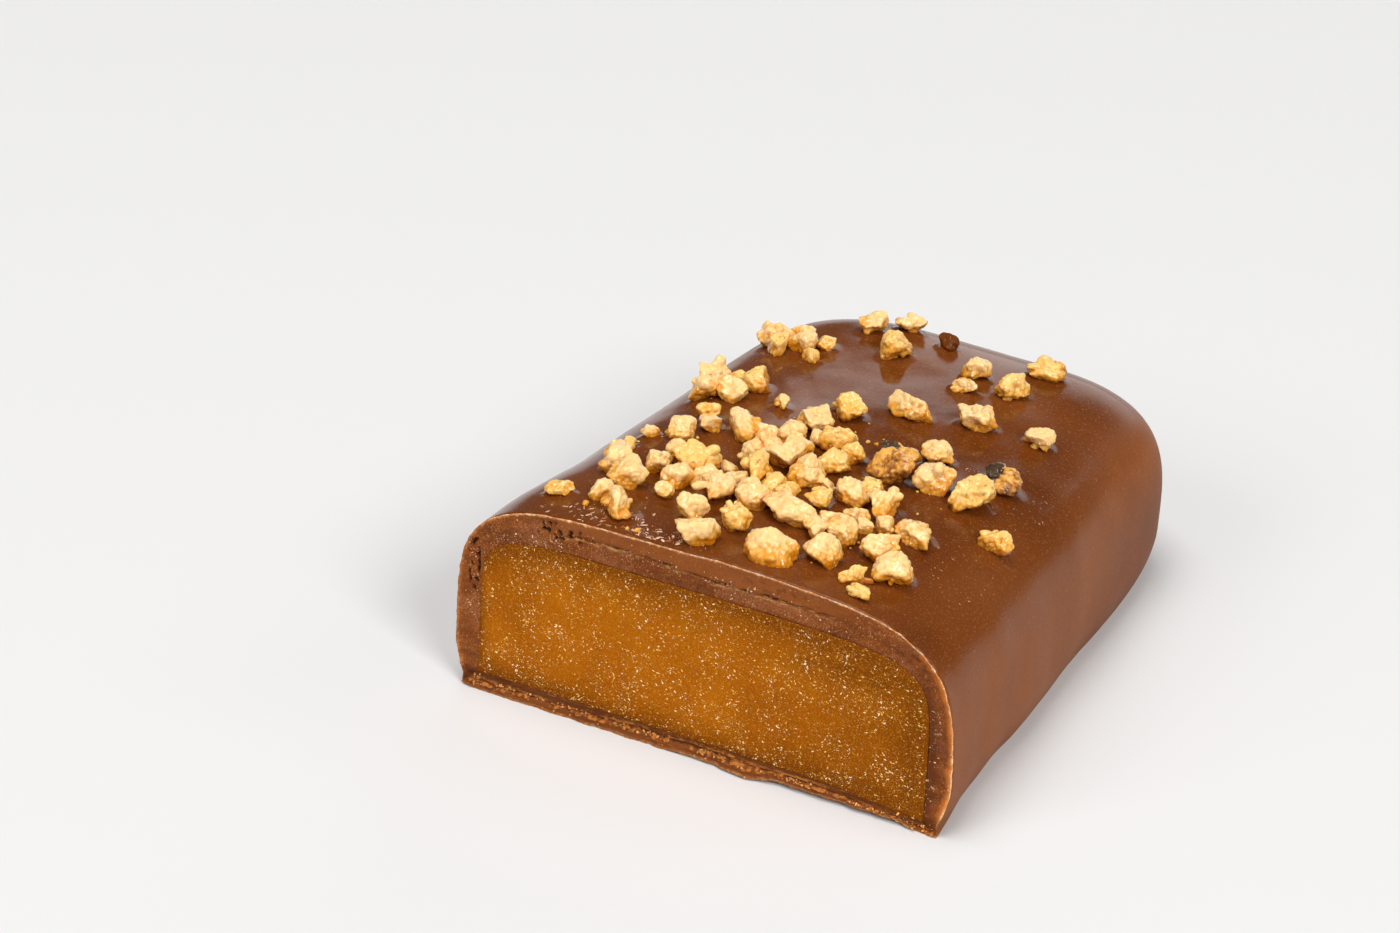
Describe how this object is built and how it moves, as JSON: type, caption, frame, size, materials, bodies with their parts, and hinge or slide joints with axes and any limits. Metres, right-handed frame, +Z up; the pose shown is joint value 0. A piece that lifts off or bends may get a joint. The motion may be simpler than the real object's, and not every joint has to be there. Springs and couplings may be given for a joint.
{
  "type": "peanut toffee",
  "caption": "Cut half of a toffee bar in milk chocolate, with chopped peanuts set in the top and the toffee filling showing at the cut.",
  "frame": {"origin": "middle of the base, halfway between the cut and the far end", "axes": "+Z up, +Y from the cut to the far end, +X to the right of someone facing the cut"},
  "size_m": [0.0384, 0.0472, 0.0179],
  "materials": {
    "milk_chocolate": "semi-gloss milk chocolate, matt where it is cut",
    "toffee": "amber toffee, grainy and satin at the cut, with small sugar crystals",
    "peanut": "chopped roasted peanut, pale cream to golden, a few pieces browned",
    "sugar": "pale sugar grains showing in the cut toffee"
  },
  "bodies": {
    "root": {"chocolate_coating": "milk_chocolate", "toffee_filling": "toffee"}
  },
  "joints": []
}
